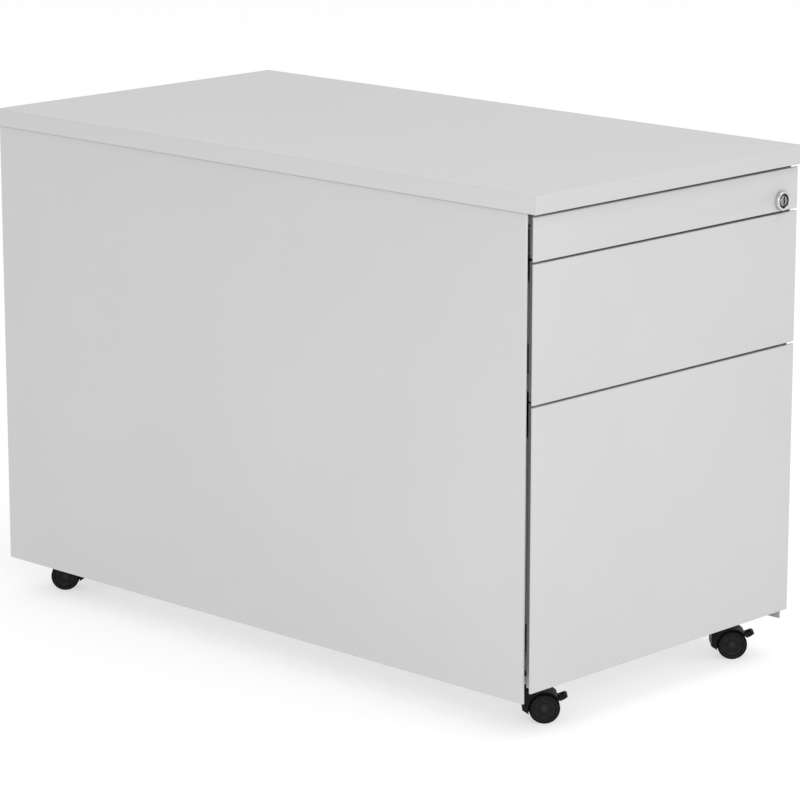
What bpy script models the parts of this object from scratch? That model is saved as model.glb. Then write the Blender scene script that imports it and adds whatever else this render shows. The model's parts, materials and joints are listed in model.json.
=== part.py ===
"""Metal filing cabinet on casters: pencil, middle and file drawer, central lock.

Units are metres, +Z is up and the drawers open towards -Y. The origin is on the
floor, under the middle of the cabinet's outer box.
"""
import math

import bmesh
import bpy
from mathutils import Vector

# ---------------------------------------------------------------- driving sizes
WIDTH = 0.420                 # worktop, across the drawers
DEPTH = 0.800                 # worktop, front to back
TOP_THICKNESS = 0.019
BODY_HEIGHT = 0.4955          # side panels
BODY_BOTTOM = 0.0385          # floor to the side panels' lower edge
SIDE_OVERHANG = 0.0025        # worktop beyond each side panel
FRONT_OVERHANG = 0.0145       # worktop beyond the side panels' front edge
BACK_OVERHANG = 0.003
FRONT_SETBACK = 0.005         # drawer fronts behind the worktop's front edge

SHEET = 0.0012                # body sheet
BOX_SHEET = 0.0010            # drawer box sheet
GAP = 0.0003                  # between pieces that touch
FLANGE = 0.016                # folded edges of the side panels
FLANGE_START = -0.300         # the bottom flange is cut away in front of this, over the front casters
FRONT_HEM = 0.0026            # narrow folded front edge of a side panel
FOLD_RADIUS = 0.0022

FRONT_GAP = 0.0024            # between two drawer fronts
FRONT_BOTTOM = 0.0508
FILE_FRONT_HEIGHT = 0.2912
MIDDLE_FRONT_HEIGHT = 0.140
PENCIL_FRONT_HEIGHT = 0.0438
FRONT_SIDE_INSET = 0.002      # drawer fronts inside the side panels' outer face
LIP = 0.003                   # thickness of a front's grip lip
GRIP_DEPTH = 0.013            # how far the lip stands out beside the pan
PAN_DEPTH = 0.018             # drawer front, front to back

BOX_HALF_WIDTH = 0.1862
SLIDE_OUTSIDE = 0.2010        # cabinet rail's web, from the middle plane
SLIDE_SHEET = 0.0014
BALL_GAP = 0.0026             # room for the balls between two slide members
SLIDE_FRONT = -0.372
LONG_SLIDE = 0.700
SHORT_SLIDE = 0.560
LONG_SLIDE_HEIGHT = 0.045
SHORT_SLIDE_HEIGHT = 0.030

LOCK_X = 0.178
LOCK_Z = 0.498
BEZEL_RADIUS = 0.01025
BARREL_RADIUS = 0.008
PLUG_RADIUS = 0.0055

CASTER_X = 0.151
CASTER_FRONT_Y = -0.348
CASTER_REAR_Y = 0.349
WHEEL_RADIUS = 0.016
WHEEL_WIDTH = 0.0088
WEB = 0.006                   # hood's middle wall, between the two wheels
TRAIL = 0.012                 # swivel axis to axle
AXLE_RADIUS = 0.003
HOOD_HALF_WIDTH = 0.0130
HOOD_RADIUS = 0.0181          # hood's arch, round the axle
NOSE = -0.0106                # front of the hood, from the swivel axis
PEDAL_PIVOT = (0.0165, 0.0092)  # brake lever's pin, from the axle, along the trail and up
PEDAL_PIN_RADIUS = 0.0011
FRONT_CASTER_TURN = math.radians(-45)
REAR_CASTER_TURN = math.radians(135)

# ---------------------------------------------------------------- derived places
BODY_TOP = BODY_BOTTOM + BODY_HEIGHT
SIDE_OUTER = WIDTH / 2 - SIDE_OVERHANG
SIDE_INNER = SIDE_OUTER - SHEET
FLANGE_EDGE = SIDE_OUTER - FLANGE
SIDE_FRONT = -DEPTH / 2 + FRONT_OVERHANG
SIDE_BACK = DEPTH / 2 - BACK_OVERHANG
FACE_Y = -DEPTH / 2 + FRONT_SETBACK
FACE_HALF_WIDTH = SIDE_OUTER - FRONT_SIDE_INSET
PAN_BACK = FACE_Y + PAN_DEPTH
PAN_HALF_WIDTH = FACE_HALF_WIDTH - GRIP_DEPTH
BOX_FRONT = PAN_BACK + GAP
PANEL_TOP = BODY_TOP - GAP
MIDDLE_BOTTOM = FRONT_BOTTOM + FILE_FRONT_HEIGHT + FRONT_GAP
PENCIL_BOTTOM = MIDDLE_BOTTOM + MIDDLE_FRONT_HEIGHT + FRONT_GAP
BASE_BOTTOM = 0.054
BASE_FLANGE = 0.008
RAIL_BOTTOM = 0.5195          # underside of the two rails below the worktop
RAIL_TOP = PANEL_TOP - SHEET - GAP
INSIDE_WIDTH = SIDE_INNER - GAP
INSIDE_FRONT = -0.375
INSIDE_BACK = SIDE_BACK - FLANGE + 0.0015

SIDES = {"left": -1, "right": 1}


# ---------------------------------------------------------------- materials
def material(name, color, roughness, metallic=0.0):
    """One Principled material with a plain finish."""
    result = bpy.data.materials.new(name)
    result.use_nodes = True
    shader = result.node_tree.nodes["Principled BSDF"]
    shader.inputs["Base Color"].default_value = (*color, 1.0)
    shader.inputs["Roughness"].default_value = roughness
    shader.inputs["Metallic"].default_value = metallic
    result.diffuse_color = (*color, 1.0)
    return result


def finishes():
    """The cabinet's finishes, by name."""
    return {
        "powder_coat": material("powder_coat", (0.62, 0.62, 0.62), 0.45),
        "laminate": material("laminate", (0.60, 0.60, 0.60), 0.55),
        "zinc_steel": material("zinc_steel", (0.55, 0.56, 0.58), 0.35, 1.0),
        "black_plastic": material("black_plastic", (0.02, 0.02, 0.02), 0.45),
        "tread": material("tread", (0.03, 0.03, 0.03), 0.7),
        "insert_plastic": material("insert_plastic", (0.08, 0.08, 0.09), 0.5),
        "chrome": material("chrome", (0.80, 0.80, 0.80), 0.15, 1.0),
    }


# ---------------------------------------------------------------- mesh helpers
CORNERS = [(x, y, z) for z in (0, 1) for y in (0, 1) for x in (0, 1)]


def corner_verts(bm, low, high):
    """Eight corners of a box, X changing fastest and Z slowest."""
    return [bm.verts.new([(low, high)[corner[axis]][axis] for axis in range(3)]) for corner in CORNERS]


def side_loop(axis, side):
    """The four corner numbers round one side of a box."""
    first, second = [other for other in range(3) if other != axis]
    loop = []
    for a, b in ((0, 0), (1, 0), (1, 1), (0, 1)):
        corner = [0, 0, 0]
        corner[axis] = side
        corner[first] = a
        corner[second] = b
        loop.append(CORNERS.index(tuple(corner)))
    return loop


def block(low, high):
    """A plain box."""
    bm = bmesh.new()
    verts = corner_verts(bm, low, high)
    for axis in range(3):
        for side in (0, 1):
            bm.faces.new([verts[number] for number in side_loop(axis, side)])
    bmesh.ops.recalc_face_normals(bm, faces=bm.faces)
    return bm


def tray(low, high, wall, axis, side):
    """A folded sheet pan: a box that is open on one side (side is 0 or 1)."""
    inner_low = [value + wall for value in low]
    inner_high = [value - wall for value in high]
    (inner_low, inner_high)[side][axis] = (low, high)[side][axis]
    bm = bmesh.new()
    outer = corner_verts(bm, low, high)
    inner = corner_verts(bm, inner_low, inner_high)
    for face_axis in range(3):
        for face_side in (0, 1):
            loop = side_loop(face_axis, face_side)
            if (face_axis, face_side) != (axis, side):
                bm.faces.new([outer[number] for number in loop])
                bm.faces.new([inner[number] for number in loop])
                continue
            for a, b in zip(loop, loop[1:] + loop[:1]):
                bm.faces.new((outer[a], outer[b], inner[b], inner[a]))
    bmesh.ops.recalc_face_normals(bm, faces=bm.faces)
    return bm


def prism(outline, axis, start, end):
    """A flat outline swept along one axis. Its two coordinates are the other two axes, in X, Y, Z order."""
    bm = bmesh.new()
    ends = []
    for height in (start, end):
        loop = []
        for point in outline:
            spot = list(point)
            spot.insert(axis, height)
            loop.append(bm.verts.new(spot))
        ends.append(loop)
    bm.faces.new(ends[0])
    bm.faces.new(ends[1])
    for number in range(len(outline)):
        after = (number + 1) % len(outline)
        bm.faces.new((ends[0][number], ends[0][after], ends[1][after], ends[1][number]))
    bmesh.ops.recalc_face_normals(bm, faces=bm.faces)
    return bm


def arc(center, radius, start, end, steps):
    """Points on an arc, from one angle to another in degrees, both ends included."""
    points = []
    for number in range(steps + 1):
        angle = math.radians(start + (end - start) * number / steps)
        points.append((center[0] + radius * math.cos(angle), center[1] + radius * math.sin(angle)))
    return points


def circle(center, radius, steps, turn=0.0):
    """Points round a full circle."""
    return arc(center, radius, turn, turn + 360.0, steps)[:-1]


def ring(profile, steps, turn=0.0):
    """A closed profile of (radius, place along Y) turned about the Y axis."""
    bm = bmesh.new()
    loops = []
    for step in range(steps):
        angle = math.radians(turn) + math.tau * step / steps
        loops.append([bm.verts.new((r * math.cos(angle), y, r * math.sin(angle))) for r, y in profile])
    for step, loop in enumerate(loops):
        following = loops[(step + 1) % steps]
        for number in range(len(profile)):
            after = (number + 1) % len(profile)
            bm.faces.new((loop[number], loop[after], following[after], following[number]))
    bmesh.ops.recalc_face_normals(bm, faces=bm.faces)
    return bm


def joined(*meshes):
    """Several meshes as one, for a cutter with separate pieces."""
    result = bmesh.new()
    for bm in meshes:
        mesh = bpy.data.meshes.new("joined")
        bm.to_mesh(mesh)
        bm.free()
        result.from_mesh(mesh)
        bpy.data.meshes.remove(mesh)
    return result


def round_edges(bm, chosen, radius, segments):
    """Round the edges whose two ends both pass the test."""
    edges = [edge for edge in bm.edges if all(chosen(vert.co) for vert in edge.verts)]
    bmesh.ops.bevel(bm, geom=edges, offset=radius, segments=segments, profile=0.5, affect="EDGES")
    return bm


# ---------------------------------------------------------------- object helpers
def place(name, bm, origin, parent):
    """Make an object from a mesh drawn round its own origin."""
    mesh = bpy.data.meshes.new(name)
    bm.to_mesh(mesh)
    bm.free()
    result = bpy.data.objects.new(name, mesh)
    bpy.context.collection.objects.link(result)
    result.location = origin
    result.parent = parent
    return result


def part(name, bm, finish, origin=(0, 0, 0), parent=None, smooth=False):
    """One named piece of the cabinet."""
    result = place(name, bm, origin, parent)
    result.data.materials.append(finish)
    if smooth:
        result.data.shade_smooth()
        result.data.set_sharp_from_angle(angle=math.radians(35))
    return result


def shaped(target, operation, bm, name):
    """Add or take away a shape, drawn in the target's own frame."""
    tool = place(f"{target.name}_{name}", bm, (0, 0, 0), target)
    tool.hide_render = True
    tool.display_type = "WIRE"
    boolean = target.modifiers.new(name, "BOOLEAN")
    boolean.operation = operation
    boolean.solver = "EXACT"
    boolean.object = tool
    return target


def pivot(name, location=(0, 0, 0), parent=None):
    """An empty that pieces hang from."""
    result = bpy.data.objects.new(name, None)
    bpy.context.collection.objects.link(result)
    result.location = location
    result.parent = parent
    return result


# ---------------------------------------------------------------- cabinet body
def make_top(finish):
    """The worktop board, with a small radius on every edge."""
    low = (-WIDTH / 2, -DEPTH / 2, BODY_TOP)
    high = (WIDTH / 2, DEPTH / 2, BODY_TOP + TOP_THICKNESS)
    board = round_edges(block(low, high), lambda spot: True, 0.0008, 2)
    part("top_plate", board, finish)


def make_side_panel(word, sign, finish):
    """A side panel folded inwards on all four edges, with a narrow front hem."""
    low = (min(sign * SIDE_OUTER, sign * FLANGE_EDGE), SIDE_FRONT, BODY_BOTTOM)
    high = (max(sign * SIDE_OUTER, sign * FLANGE_EDGE), SIDE_BACK, PANEL_TOP)
    pan = tray(low, high, SHEET, 0, 0 if sign > 0 else 1)
    outer_front = Vector((sign * SIDE_OUTER, SIDE_FRONT))
    round_edges(pan, lambda spot: (spot.xy - outer_front).length < 1e-5, FOLD_RADIUS, 3)
    panel = part(f"{word}_side_panel", pan, finish)
    hem_edge = sign * (SIDE_OUTER - FRONT_HEM)
    beyond = sign * (FLANGE_EDGE - SHEET)
    opening = block((min(hem_edge, beyond), SIDE_FRONT - SHEET, BODY_BOTTOM + 2 * SHEET),
                    (max(hem_edge, beyond), PAN_BACK + 2 * SHEET, PANEL_TOP + SHEET))
    shaped(panel, "DIFFERENCE", opening, "front_opening")
    relief = block((min(hem_edge, beyond), SIDE_FRONT - SHEET, BODY_BOTTOM - SHEET),
                   (max(hem_edge, beyond), FLANGE_START, BODY_BOTTOM + 4 * SHEET))
    shaped(panel, "DIFFERENCE", relief, "corner_relief")


def make_uprights(word, sign, finish):
    """Two upright channels in each side panel, which carry the slides."""
    for place_word, start in (("front", -0.352), ("rear", 0.280)):
        outer = sign * INSIDE_WIDTH
        inner = sign * (SLIDE_OUTSIDE + GAP)
        low = (min(outer, inner), start, BASE_BOTTOM + BASE_FLANGE + 0.001)
        high = (max(outer, inner), start + 0.040, RAIL_BOTTOM - 0.001)
        part(f"{word}_{place_word}_upright", tray(low, high, SHEET, 0, 1 if sign > 0 else 0), finish)


def make_body(paint, laminate, zinc):
    """The fixed carcass."""
    make_top(laminate)
    for word, sign in SIDES.items():
        make_side_panel(word, sign, paint)
        make_uprights(word, sign, zinc)
    back_edge = FLANGE_EDGE - GAP
    back = tray((-back_edge, SIDE_BACK - 0.012, BODY_BOTTOM), (back_edge, SIDE_BACK, PANEL_TOP), SHEET, 1, 0)
    part("back_panel", back, paint)
    base = tray((-INSIDE_WIDTH, INSIDE_FRONT, BASE_BOTTOM),
                (INSIDE_WIDTH, INSIDE_BACK, BASE_BOTTOM + BASE_FLANGE), SHEET, 2, 1)
    part("base_panel", base, paint)
    for name, start, end in (("front_top_rail", -0.374, -0.350), ("rear_top_rail", 0.350, INSIDE_BACK)):
        rail = tray((-INSIDE_WIDTH, start, RAIL_BOTTOM), (INSIDE_WIDTH, end, RAIL_TOP), SHEET, 2, 0)
        part(name, rail, paint)


# ---------------------------------------------------------------- slides
def channel(sign, web, edge, half_height, z, start, end):
    """A C-shaped slide member, from its web to its flanges' edges."""
    step = math.copysign(SLIDE_SHEET, edge - web)
    flange = half_height - SLIDE_SHEET
    outline = [(web, -half_height), (edge, -half_height), (edge, -flange), (web + step, -flange),
               (web + step, flange), (edge, flange), (edge, half_height), (web, half_height)]
    return prism([(sign * x, z + height) for x, height in outline], 1, start, end)


def make_slide(drawer, word, sign, z, height, length, members, finish, drawer_pivot, middle_pivot):
    """One telescopic slide: cabinet rail, middle member if it has three, and drawer rail."""
    start = SLIDE_FRONT
    end = start + length
    half = height / 2
    inset = SLIDE_SHEET + BALL_GAP
    flange_edge = BOX_HALF_WIDTH + 0.0024
    rail = channel(sign, SLIDE_OUTSIDE, flange_edge, half, z, start, end)
    part(f"{drawer}_{word}_cabinet_rail", rail, finish)
    if members == 3:
        half -= inset
        web = SLIDE_OUTSIDE - SLIDE_SHEET - 0.001
        rail = channel(sign, web, flange_edge, half, z, start, end)
        part(f"{drawer}_{word}_middle_rail", rail, finish, parent=middle_pivot)
    half -= inset
    drawer_web = BOX_HALF_WIDTH + GAP
    rail = channel(sign, drawer_web, drawer_web + 0.0097, half, z, start, end)
    part(f"{drawer}_{word}_drawer_rail", rail, finish, parent=drawer_pivot)


# ---------------------------------------------------------------- drawers
def front_mesh(bottom, height):
    """A drawer front: a face with a grip lip at each side, standing proud of a narrower pan."""
    lip_back = FACE_Y + LIP
    outline = [(-FACE_HALF_WIDTH, FACE_Y), (FACE_HALF_WIDTH, FACE_Y), (FACE_HALF_WIDTH, lip_back),
               (PAN_HALF_WIDTH, lip_back), (PAN_HALF_WIDTH, PAN_BACK), (-PAN_HALF_WIDTH, PAN_BACK),
               (-PAN_HALF_WIDTH, lip_back), (-FACE_HALF_WIDTH, lip_back)]
    bm = prism(outline, 2, bottom, bottom + height)
    return round_edges(bm, lambda spot: abs(spot.y - FACE_Y) < 1e-5, 0.0010, 2)


def make_front(drawer, bottom, height, finish, parent):
    """A drawer front: a sheet-metal pan, open at the back, between two folded lips."""
    front = part(f"{drawer}_front", front_mesh(bottom, height), finish, parent=parent)
    inside = PAN_HALF_WIDTH - SHEET
    hollow = block((-inside, FACE_Y + SHEET, bottom + SHEET),
                   (inside, PAN_BACK + SHEET, bottom + height - SHEET))
    return shaped(front, "DIFFERENCE", hollow, "hollow")


def make_box(drawer, bottom, top, back, finish, parent):
    """A drawer's sheet box, open at the top."""
    box = tray((-BOX_HALF_WIDTH, BOX_FRONT, bottom), (BOX_HALF_WIDTH, back, top), BOX_SHEET, 2, 1)
    return part(f"{drawer}_box", box, finish, parent=parent)


def make_insert(finish, parent):
    """The moulded tray for pens and small things in the pencil drawer."""
    half_width = BOX_HALF_WIDTH - BOX_SHEET - 0.0006
    front, back = -0.362, -0.140
    bottom, top = 0.4914, 0.5130
    insert = part("pencil_insert", block((-half_width, front, bottom), (half_width, back, top)), finish,
                  parent=parent)
    wall, floor, above = 0.004, bottom + 0.002, top + 0.002
    inside = half_width - wall
    rows = ((front + wall, front + 0.052, 1), (front + 0.056, front + 0.108, 1), (front + 0.112, back - wall, 3))
    pockets = []
    for row_front, row_back, count in rows:
        pitch = (2 * inside + wall) / count
        for number in range(count):
            left = -inside + number * pitch
            pockets.append(block((left, row_front, floor), (left + pitch - wall, row_back, above)))
    return shaped(insert, "DIFFERENCE", joined(*pockets), "pockets")


def make_pencil_drawer(paint, zinc, plastic):
    """The shallow top drawer. Its box is notched round the lock."""
    slide = pivot("pencil_drawer_slide")
    front = make_front("pencil", PENCIL_BOTTOM, PENCIL_FRONT_HEIGHT, paint, slide)
    hole = prism(circle((LOCK_X, LOCK_Z), BARREL_RADIUS + GAP, 24), 1, FACE_Y - SHEET, FACE_Y + LIP)
    shaped(front, "DIFFERENCE", hole, "lock_hole")
    box = make_box("pencil", 0.490, 0.516, SLIDE_FRONT + SHORT_SLIDE - 0.006, paint, slide)
    notch = block((LOCK_X - 0.026, BOX_FRONT - SHEET, 0.4922), (BOX_HALF_WIDTH + SHEET, BOX_FRONT + 0.013, 0.520))
    shaped(box, "DIFFERENCE", notch, "lock_notch")
    make_insert(plastic, slide)
    for word, sign in SIDES.items():
        make_slide("pencil", word, sign, 0.503, SHORT_SLIDE_HEIGHT, SHORT_SLIDE, 2, zinc, slide, None)
    return slide


def make_middle_drawer(paint, zinc):
    """The middle drawer, with one cross divider."""
    slide = pivot("middle_drawer_slide")
    half_slide = pivot("middle_rails_slide")
    make_front("middle", MIDDLE_BOTTOM, MIDDLE_FRONT_HEIGHT, paint, slide)
    bottom, back = 0.352, SLIDE_FRONT + LONG_SLIDE - 0.006
    make_box("middle", bottom, 0.462, back, paint, slide)
    half_width = BOX_HALF_WIDTH - BOX_SHEET - GAP
    floor = bottom + BOX_SHEET + GAP
    foot, height = 0.014, 0.080
    outline = [(0, floor), (foot, floor), (foot, floor + BOX_SHEET), (BOX_SHEET, floor + BOX_SHEET),
               (BOX_SHEET, floor + height), (0, floor + height)]
    part("middle_divider", prism(outline, 0, -half_width, half_width), paint, parent=slide)
    for word, sign in SIDES.items():
        make_slide("middle", word, sign, 0.385, LONG_SLIDE_HEIGHT, LONG_SLIDE, 3, zinc, slide, half_slide)


def hanger_outline(front, back, top):
    """Side view (Y, Z) of a hanging-file rail that hooks over the drawer's two end walls."""
    over = top + GAP
    crest = over + 0.004
    foot = over - 0.008
    low = over - 0.020
    hook = BOX_SHEET + 2 * GAP
    strap = 0.0014
    inner_front, inner_back = front + BOX_SHEET + GAP, back - BOX_SHEET - GAP
    return [(inner_front, low), (inner_back, low), (inner_back, over), (inner_back + hook, over),
            (inner_back + hook, foot), (inner_back + hook + strap, foot), (inner_back + hook + strap, crest),
            (inner_front - hook - strap, crest), (inner_front - hook - strap, foot),
            (inner_front - hook, foot), (inner_front - hook, over), (inner_front, over)]


def make_file_drawer(paint, zinc):
    """The deep drawer, with two rails for hanging files."""
    slide = pivot("file_drawer_slide")
    half_slide = pivot("file_rails_slide")
    make_front("file", FRONT_BOTTOM, FILE_FRONT_HEIGHT, paint, slide)
    bottom, top, back = 0.065, 0.305, SLIDE_FRONT + LONG_SLIDE - 0.006
    make_box("file", bottom, top, back, paint, slide)
    outline = hanger_outline(BOX_FRONT, back, top)
    for word, sign in SIDES.items():
        middle = sign * 0.165
        part(f"file_{word}_hanger", prism(outline, 0, middle - 0.001, middle + 0.001), zinc, parent=slide)
        make_slide("file", word, sign, 0.100, LONG_SLIDE_HEIGHT, LONG_SLIDE, 3, zinc, slide, half_slide)


# ---------------------------------------------------------------- lock
def make_lock(chrome, zinc, drawer_pivot):
    """Cylinder lock on the pencil drawer: barrel, turning plug and cam, and the bar it lifts."""
    center = (LOCK_X, 0.0, LOCK_Z)
    nose, back = FACE_Y - 0.0043, PAN_BACK - 0.003
    seat = FACE_Y - GAP
    bore = PLUG_RADIUS + GAP
    profile = [(bore, nose), (BEZEL_RADIUS - 0.0012, nose), (BEZEL_RADIUS, nose + 0.0012), (BEZEL_RADIUS, seat),
               (BARREL_RADIUS, seat), (BARREL_RADIUS, back), (bore, back)]
    part("lock_barrel", ring(profile, 24), chrome, origin=center, parent=drawer_pivot, smooth=True)
    turn = pivot("lock_turn", center, drawer_pivot)
    plug_back = back + 0.0028
    plug = prism(circle((0, 0), PLUG_RADIUS, 24), 1, nose + 0.0006, plug_back)
    plug_part = part("lock_plug", plug, chrome, parent=turn, smooth=True)
    keyway = block((-0.0007, nose - 0.001, -0.0042), (0.0007, nose + 0.0036, 0.0042))
    shaped(plug_part, "DIFFERENCE", keyway, "keyway")
    reach, half_width = 0.020, 0.0045
    outline = arc((0, 0), half_width, 180, 360, 8) + arc((0, reach - half_width), half_width, 0, 180, 8)
    cam = prism(outline, 1, plug_back + GAP, plug_back + GAP + 0.0018)
    part("lock_cam", cam, zinc, parent=turn)


def make_locking_bar(zinc):
    """An upright bar beside the right front upright, with a tab for each drawer."""
    slide = pivot("locking_bar_slide")
    front, back = -0.371, -0.358
    outline = [(back, 0.075), (back, 0.506), (front, 0.506)]
    for tab in (0.500, 0.410, 0.125):
        outline += [(front, tab), (front + 0.004, tab - 0.006), (front + 0.004, tab - 0.012), (front, tab - 0.018)]
    outline.append((front, 0.075))
    part("locking_bar", prism(outline, 0, 0.2020, 0.2040), zinc, parent=slide)


# ---------------------------------------------------------------- casters
def hood_outline(center, braked):
    """Side view (along the trail, up) of a caster hood: blunt nose, then an arc over the wheels."""
    outline = [(NOSE, 0.0150), (NOSE, 0.0345), (NOSE + 0.0022, 0.0370), (0.0050, 0.0370)]
    outline += arc(center, HOOD_RADIUS, 86, 44, 6)
    if braked:
        pin = (center[0] + PEDAL_PIVOT[0], center[1] + PEDAL_PIVOT[1])
        outline += arc(pin, 2 * PEDAL_PIN_RADIUS, 45, -110, 6)
    outline += [(center[0] + 0.0115, center[1] + 0.0070), (center[0] + 0.006, center[1] - 0.0045),
                (center[0], center[1] - 0.0080), (center[0] - 0.0130, center[1] - 0.0076)]
    return outline


def both_sides(outline, inner, outer):
    """Two matching slices of one side view, left and right of a caster's middle wall."""
    return joined(prism(outline, 1, inner, outer), prism(outline, 1, -outer, -inner))


def make_hood(name, location, turn, braked, finish):
    """A twin-wheel caster hood with its axle. Its own X is the trail, its Y the axle."""
    center = (TRAIL, WHEEL_RADIUS)
    bm = prism(hood_outline(center, braked), 1, -HOOD_HALF_WIDTH, HOOD_HALF_WIDTH)
    hood = part(name, bm, finish, origin=location, smooth=True)
    hood.rotation_euler = (0, 0, turn)
    beyond = HOOD_HALF_WIDTH + 0.001
    wells = both_sides(circle(center, WHEEL_RADIUS + 0.0009, 32), WEB / 2, beyond)
    shaped(hood, "DIFFERENCE", wells, "wheel_wells")
    if braked:
        pin = (center[0] + PEDAL_PIVOT[0], center[1] + PEDAL_PIVOT[1])
        room = [(pin[0] - 0.0032, pin[1] - 0.006), (pin[0] + 0.006, pin[1] - 0.006),
                (pin[0] + 0.006, pin[1] + 0.006), (pin[0] - 0.0032, pin[1] + 0.006)]
        shaped(hood, "DIFFERENCE", both_sides(room, WEB / 2, beyond), "pedal_room")
        shaped(hood, "UNION", prism(circle(pin, PEDAL_PIN_RADIUS, 12), 1, -0.0063, 0.0063), "pedal_pin")
    shaped(hood, "UNION", prism(circle((0, 0), 0.0095, 24), 2, 0.034, 0.0457), "swivel_boss")
    shaped(hood, "UNION", prism(circle(center, AXLE_RADIUS, 16), 1, -0.0118, 0.0118), "axle")
    return hood


def make_wheel(name, side, hood, finish):
    """One wheel of a twin caster, dished on its outer face. A flat of its rim lies on the floor."""
    steps = 24
    rim = WHEEL_RADIUS / math.cos(math.pi / steps)
    inner, outer = WEB / 2 + 0.0007, WEB / 2 + 0.0007 + WHEEL_WIDTH
    bore = AXLE_RADIUS + GAP
    profile = [(bore, inner), (rim - 0.0015, inner), (rim, inner + 0.0015), (rim, outer - 0.0022),
               (rim - 0.0018, outer), (rim - 0.0040, outer), (rim - 0.0052, outer - 0.0016),
               (0.0058, outer - 0.0016), (0.0050, outer - 0.0006), (bore, outer - 0.0006)]
    bm = ring([(radius, side * place) for radius, place in profile], steps, 180.0 / steps)
    part(name, bm, finish, origin=(TRAIL, 0, WHEEL_RADIUS), parent=hood, smooth=True)


def make_brake(name, hood, finish):
    """A forked foot lever behind the hood, drawn round its own pin."""
    origin = (TRAIL + PEDAL_PIVOT[0], 0, WHEEL_RADIUS + PEDAL_PIVOT[1])
    outline = arc((0, 0), 0.0024, 130, 300, 8)
    outline += [(0.0044, -0.0004), (0.0068, 0.0014), (0.0071, 0.0032), (0.0048, 0.0040)]
    lever = part(name, prism(outline, 1, -0.0067, 0.0067), finish, origin=origin, parent=hood)
    bore = prism(circle((0, 0), PEDAL_PIN_RADIUS + GAP, 12), 1, -0.010, 0.010)
    shaped(lever, "DIFFERENCE", bore, "bore")
    fork = WEB / 2 + GAP
    shaped(lever, "DIFFERENCE", block((-0.004, -fork, -0.004), (0.0034, fork, 0.008)), "fork")


def make_plate(name, location, finish):
    """A caster's square top plate with its round bearing housing."""
    half = 0.019
    top = BASE_BOTTOM - GAP
    bottom = top - 0.0025
    x, y = location[0], location[1]
    bm = round_edges(block((x - half, y - half, bottom), (x + half, y + half, top)),
                     lambda spot: True, 0.0006, 1)
    plate = part(name, bm, finish)
    shaped(plate, "UNION", prism(circle((x, y), 0.0115, 24), 2, 0.0460, bottom + 0.001), "bearing")


def make_casters(black, tread, zinc):
    """Four twin-wheel swivel casters. The two front ones have brakes."""
    for row, y, turn in (("front", CASTER_FRONT_Y, FRONT_CASTER_TURN), ("rear", CASTER_REAR_Y, REAR_CASTER_TURN)):
        for word, sign in SIDES.items():
            name = f"{row}_{word}_caster"
            location = (sign * CASTER_X, y, 0)
            make_plate(f"{name}_plate", location, zinc)
            braked = row == "front"
            hood = make_hood(f"{name}_hood", location, turn, braked, black)
            make_wheel(f"{name}_wheel_a", 1, hood, tread)
            make_wheel(f"{name}_wheel_b", -1, hood, tread)
            if braked:
                make_brake(f"{name}_brake", hood, black)


# ---------------------------------------------------------------- the whole cabinet
def main():
    for old in list(bpy.data.objects):
        bpy.data.objects.remove(old)
    look = finishes()
    make_body(look["powder_coat"], look["laminate"], look["zinc_steel"])
    pencil = make_pencil_drawer(look["powder_coat"], look["zinc_steel"], look["insert_plastic"])
    make_middle_drawer(look["powder_coat"], look["zinc_steel"])
    make_file_drawer(look["powder_coat"], look["zinc_steel"])
    make_lock(look["chrome"], look["zinc_steel"], pencil)
    make_locking_bar(look["zinc_steel"])
    make_casters(look["black_plastic"], look["tread"], look["zinc_steel"])


main()
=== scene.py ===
"""Looks of the mobile metal filing cabinet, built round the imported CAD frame.

Everything is in metres in the CAD's own frame: +Z up, drawers open towards -Y,
origin on the floor under the middle of the cabinet.
"""

import json
import math

import bmesh
import bpy
from mathutils import Matrix, Vector


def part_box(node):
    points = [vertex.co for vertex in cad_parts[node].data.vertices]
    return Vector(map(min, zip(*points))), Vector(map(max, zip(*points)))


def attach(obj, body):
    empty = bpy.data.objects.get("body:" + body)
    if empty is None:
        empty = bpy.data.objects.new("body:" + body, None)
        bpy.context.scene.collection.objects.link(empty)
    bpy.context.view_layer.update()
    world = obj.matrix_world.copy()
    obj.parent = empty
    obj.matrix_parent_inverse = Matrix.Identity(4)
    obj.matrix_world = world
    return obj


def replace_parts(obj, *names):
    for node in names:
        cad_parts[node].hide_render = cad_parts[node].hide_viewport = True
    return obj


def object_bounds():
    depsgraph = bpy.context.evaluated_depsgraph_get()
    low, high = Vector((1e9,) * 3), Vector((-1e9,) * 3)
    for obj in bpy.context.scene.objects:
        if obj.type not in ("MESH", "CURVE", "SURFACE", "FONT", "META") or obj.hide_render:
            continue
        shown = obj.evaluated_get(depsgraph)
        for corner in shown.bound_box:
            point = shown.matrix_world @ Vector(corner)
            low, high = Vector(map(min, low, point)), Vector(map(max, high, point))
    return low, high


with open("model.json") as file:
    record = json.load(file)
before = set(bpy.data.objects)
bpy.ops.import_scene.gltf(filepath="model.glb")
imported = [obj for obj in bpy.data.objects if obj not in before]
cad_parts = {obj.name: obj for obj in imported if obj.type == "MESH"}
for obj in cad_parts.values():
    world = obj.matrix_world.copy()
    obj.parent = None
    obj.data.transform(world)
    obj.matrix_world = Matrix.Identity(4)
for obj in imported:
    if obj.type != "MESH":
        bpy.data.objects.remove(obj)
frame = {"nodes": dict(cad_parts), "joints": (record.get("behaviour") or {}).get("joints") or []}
CAD_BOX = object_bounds()

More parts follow.
